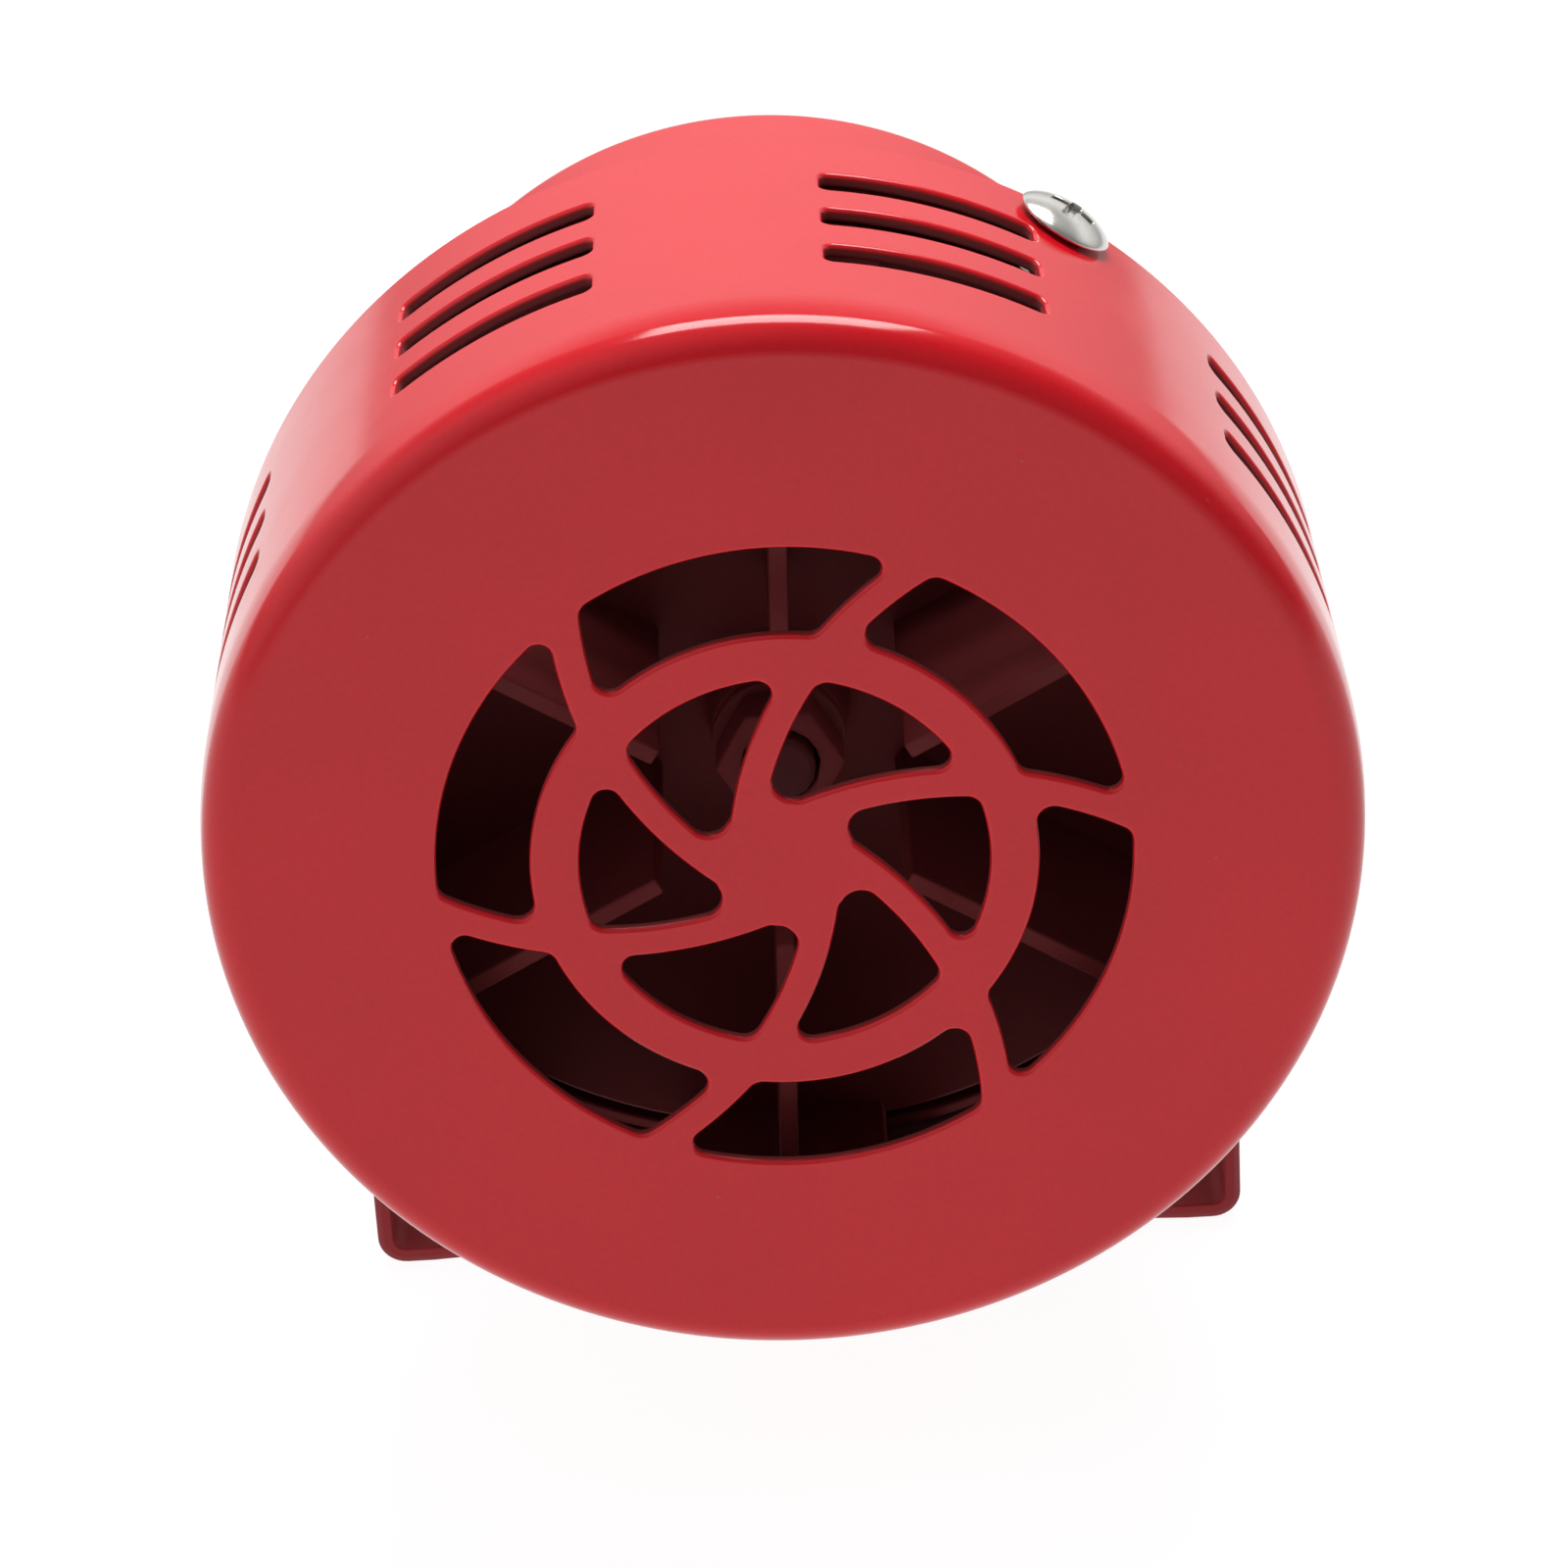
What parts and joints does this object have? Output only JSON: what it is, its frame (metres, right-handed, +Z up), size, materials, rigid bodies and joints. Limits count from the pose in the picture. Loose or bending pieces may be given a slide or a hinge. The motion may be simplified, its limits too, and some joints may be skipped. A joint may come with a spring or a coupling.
{
  "type": "motor siren",
  "caption": "Small red motor siren: slotted steel drum with a spiral grille over a spinning chopper wheel, motor can behind, tilting on a U-shaped mounting bracket.",
  "frame": {"origin": "centre of the underside of the bracket's base, straight below the tilt axis", "axes": "+Z up from the base, -Y the way the drum's face looks, +X to the right of somebody facing the drum"},
  "size_m": [0.08, 0.0679, 0.092],
  "materials": {
    "bracket_paint": "gloss deep red enamel",
    "drum_paint": "gloss signal red enamel",
    "can_paint": "gloss signal red enamel",
    "plate_primer": "matt dark red primer",
    "wheel_paint": "die-cast aluminium, painted dark red",
    "screw_plating": "bright nickel-plated steel",
    "spacer_nylon": "black nylon",
    "grommet_rubber": "black rubber",
    "lamination_steel": "stacked blued steel sheet",
    "winding_copper": "varnished copper wire",
    "tube_steel": "zinc-plated steel",
    "bearing_steel": "ground steel",
    "commutator_copper": "turned copper",
    "holder_brass": "folded brass sheet",
    "brush_carbon": "pressed carbon",
    "spring_steel": "spring steel wire"
  },
  "bodies": {
    "bracket": {"bracket": "bracket_paint"},
    "housing": {"front_cover": "drum_paint", "rear_can": "can_paint", "bulkhead": "plate_primer", "cover_screw_upper": "screw_plating", "cover_screw_lower": "screw_plating", "can_screw_1": "screw_plating", "can_screw_2": "screw_plating", "can_screw_3": "screw_plating", "can_screw_4": "screw_plating", "pivot_screw_left": "screw_plating", "pivot_screw_right": "screw_plating", "pivot_washer_left": "screw_plating", "pivot_washer_right": "screw_plating", "pivot_nut_left": "screw_plating", "pivot_nut_right": "screw_plating", "through_bolt_upper": "screw_plating", "through_bolt_lower": "screw_plating", "pivot_spacer_left": "spacer_nylon", "pivot_spacer_right": "spacer_nylon", "cable_grommet": "grommet_rubber", "stator_stack": "lamination_steel", "field_coil_upper": "winding_copper", "field_coil_lower": "winding_copper", "spacer_tube_front_upper": "tube_steel", "spacer_tube_front_lower": "tube_steel", "spacer_tube_rear_upper": "tube_steel", "spacer_tube_rear_lower": "tube_steel", "rear_end_frame": "tube_steel", "front_bearing": "bearing_steel", "rear_bearing": "bearing_steel", "brush_holder_left": "holder_brass", "brush_holder_right": "holder_brass", "brush_spring_left": "spring_steel", "brush_spring_right": "spring_steel"},
    "rotor": {"motor_shaft": "bearing_steel", "armature_core": "lamination_steel", "armature_windings": "winding_copper", "commutator": "commutator_copper", "chopper_wheel": "wheel_paint", "wheel_washer": "wheel_paint", "wheel_nut": "wheel_paint"},
    "brush_left": {"brush_left": "brush_carbon"},
    "brush_right": {"brush_right": "brush_carbon"}
  },
  "joints": [
    {"name": "tilt", "type": "hinge", "parent": "bracket", "child": "housing", "pos_m": [0, 0, 0.052], "axis": [-1, 0, 0], "range_deg": [-16, 90]},
    {"name": "rotor_spin", "type": "hinge", "parent": "housing", "child": "rotor", "pos_m": [0, 0, 0.052], "axis": [0, 1, 0], "continuous": true},
    {"name": "brush_slide_left", "type": "slide", "parent": "housing", "child": "brush_left", "axis": [-1, 0, 0], "range_m": [0, 0.0015], "stiffness_N_per_m": 120, "springref_m": -0.004, "deforming": ["brush_spring_left"]},
    {"name": "brush_slide_right", "type": "slide", "parent": "housing", "child": "brush_right", "axis": [1, 0, 0], "range_m": [0, 0.0015], "stiffness_N_per_m": 120, "springref_m": -0.004, "deforming": ["brush_spring_right"]}
  ]
}
